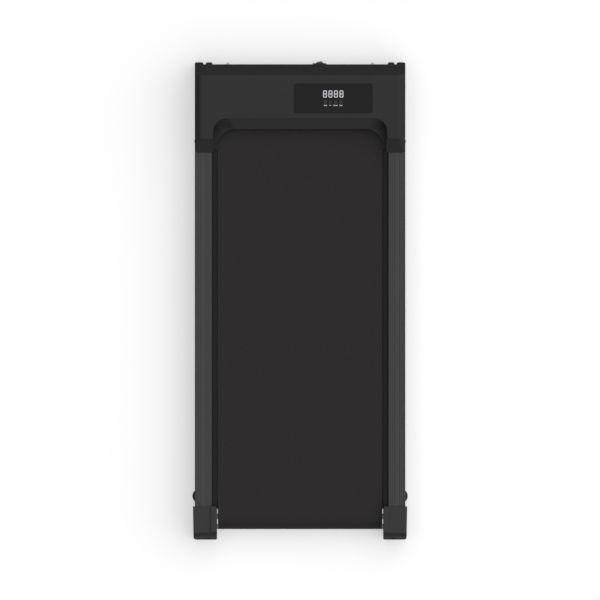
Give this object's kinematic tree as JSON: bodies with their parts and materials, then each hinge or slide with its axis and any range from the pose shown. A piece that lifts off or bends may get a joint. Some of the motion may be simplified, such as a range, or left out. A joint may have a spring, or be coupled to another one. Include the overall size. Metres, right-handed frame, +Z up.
{
  "type": "walking pad",
  "caption": "Slim motorised walking pad: belt over a deck between ribbed side rails, low motor hood with scoop and display, rear end caps, feet and transport wheels.",
  "frame": {"origin": "on the floor, under the middle of the whole machine", "axes": "+X to the walker's right, +Y forward to the motor hood, +Z up"},
  "size_m": [0.498, 1.107, 0.12],
  "materials": {
    "hood_plastic": "fine moulded texture, satin",
    "pan_plastic": "coarse moulded texture, matte",
    "rail_plastic": "extruded, satin, ribbed tread",
    "cap_plastic": "fine moulded texture, satin",
    "lens_acrylic": "smoked, polished",
    "belt_pvc": "fine diamond emboss, matte",
    "black_rubber": "matte",
    "deck_wood": "black phenolic film on board",
    "frame_paint": "black powder coat",
    "bright_steel": "ground and zinc plated",
    "roller_steel": "turned",
    "dark_screws": "black oxide",
    "white_nylon": "moulded",
    "wheel_nylon": "moulded, slightly worn",
    "cast_aluminium": "die cast",
    "motor_paint": "black enamel",
    "rotor_steel": "laminated",
    "green_board": "solder mask",
    "part_black": "moulded sleeves",
    "switch_black": "smooth",
    "rocker_red": "smooth, translucent",
    "pin_metal": "nickel plated"
  },
  "bodies": {
    "frame": {"motor_hood": "hood_plastic", "collar_left": "hood_plastic", "collar_right": "hood_plastic", "belly_pan": "pan_plastic", "side_rail_left": "rail_plastic", "side_rail_right": "rail_plastic", "end_cap_left": "cap_plastic", "end_cap_right": "cap_plastic", "display_lens": "lens_acrylic", "walking_belt": "belt_pvc", "deck_cushions": "black_rubber", "drive_belt": "black_rubber", "rear_feet": "black_rubber", "front_feet": "black_rubber", "deck_board": "deck_wood", "side_frame_left": "frame_paint", "side_frame_right": "frame_paint", "cross_member_rear": "frame_paint", "cross_member_middle": "frame_paint", "cross_member_front": "frame_paint", "motor_tray": "frame_paint", "rear_end_plates": "frame_paint", "wheel_bracket_left": "frame_paint", "wheel_bracket_right": "frame_paint", "motor_saddles": "frame_paint", "wheel_axles": "bright_steel", "deck_screws": "bright_steel", "front_roller_shaft": "bright_steel", "front_shaft_screws": "bright_steel", "motor_bolts": "bright_steel", "hood_screws": "bright_steel", "belly_pan_screws": "bright_steel", "foot_screws": "bright_steel", "collar_screws": "dark_screws", "end_cap_screws": "dark_screws", "board_standoffs": "white_nylon", "motor_end_bells": "cast_aluminium", "heat_sink": "cast_aluminium", "motor_can": "motor_paint", "control_board": "green_board", "display_board": "green_board", "board_components": "part_black", "power_inlet": "part_black", "switch_housing": "switch_black", "inlet_pins": "pin_metal"},
    "front_roller": {"front_roller_tube": "roller_steel", "front_roller_plugs": "white_nylon", "front_roller_bearings": "bright_steel", "roller_pulley": "cast_aluminium"},
    "rear_axle": {"rear_roller_shaft": "bright_steel"},
    "rear_roller": {"rear_roller_tube": "roller_steel", "rear_roller_plugs": "white_nylon", "rear_roller_bearings": "bright_steel"},
    "tension_bolt_left": {"tension_bolt_left": "bright_steel"},
    "tension_bolt_right": {"tension_bolt_right": "bright_steel"},
    "motor_rotor": {"motor_rotor": "rotor_steel", "motor_pulley": "cast_aluminium"},
    "transport_wheel_left": {"transport_wheel_left": "wheel_nylon"},
    "transport_wheel_right": {"transport_wheel_right": "wheel_nylon"},
    "power_rocker": {"power_rocker": "rocker_red"}
  },
  "joints": [
    {"name": "front_roller_spin", "type": "hinge", "parent": "frame", "child": "front_roller", "pos_m": [0, 0.4318, 0.0444], "axis": [1, 0, 0], "continuous": true},
    {"name": "rear_tension_slide", "type": "slide", "parent": "frame", "child": "rear_axle", "axis": [0, 1, 0], "range_m": [0, 0.006]},
    {"name": "rear_roller_spin", "type": "hinge", "parent": "rear_axle", "child": "rear_roller", "pos_m": [0, -0.4995, 0.0444], "axis": [1, 0, 0], "continuous": true},
    {"name": "tension_bolt_left_turn", "type": "hinge", "parent": "frame", "child": "tension_bolt_left", "pos_m": [-0.214, -0.549, 0.0444], "axis": [0, 1, 0], "range_deg": [-2160, 0]},
    {"name": "tension_bolt_right_turn", "type": "hinge", "parent": "frame", "child": "tension_bolt_right", "pos_m": [0.214, -0.549, 0.0444], "axis": [0, 1, 0], "range_deg": [-2160, 0]},
    {"name": "motor_spin", "type": "hinge", "parent": "frame", "child": "motor_rotor", "pos_m": [-0.12, 0.503, 0.052], "axis": [1, 0, 0], "continuous": true},
    {"name": "wheel_left_spin", "type": "hinge", "parent": "frame", "child": "transport_wheel_left", "pos_m": [-0.2104, 0.5285, 0.025], "axis": [1, 0, 0], "continuous": true},
    {"name": "wheel_right_spin", "type": "hinge", "parent": "frame", "child": "transport_wheel_right", "pos_m": [0.2104, 0.5285, 0.025], "axis": [1, 0, 0], "continuous": true},
    {"name": "power_rocker_tilt", "type": "hinge", "parent": "frame", "child": "power_rocker", "pos_m": [0.0447, 0.53696, 0.036], "axis": [0, 0, 1], "range_deg": [0, 26.6]}
  ],
  "couplings": [
    {"joint": "rear_roller_spin", "follows": "front_roller_spin", "ratio": 1},
    {"joint": "motor_spin", "follows": "front_roller_spin", "ratio": 2.8889},
    {"joint": "tension_bolt_left_turn", "follows": "rear_tension_slide", "rad_per_m": -6283.2},
    {"joint": "tension_bolt_right_turn", "follows": "rear_tension_slide", "rad_per_m": -6283.2}
  ]
}
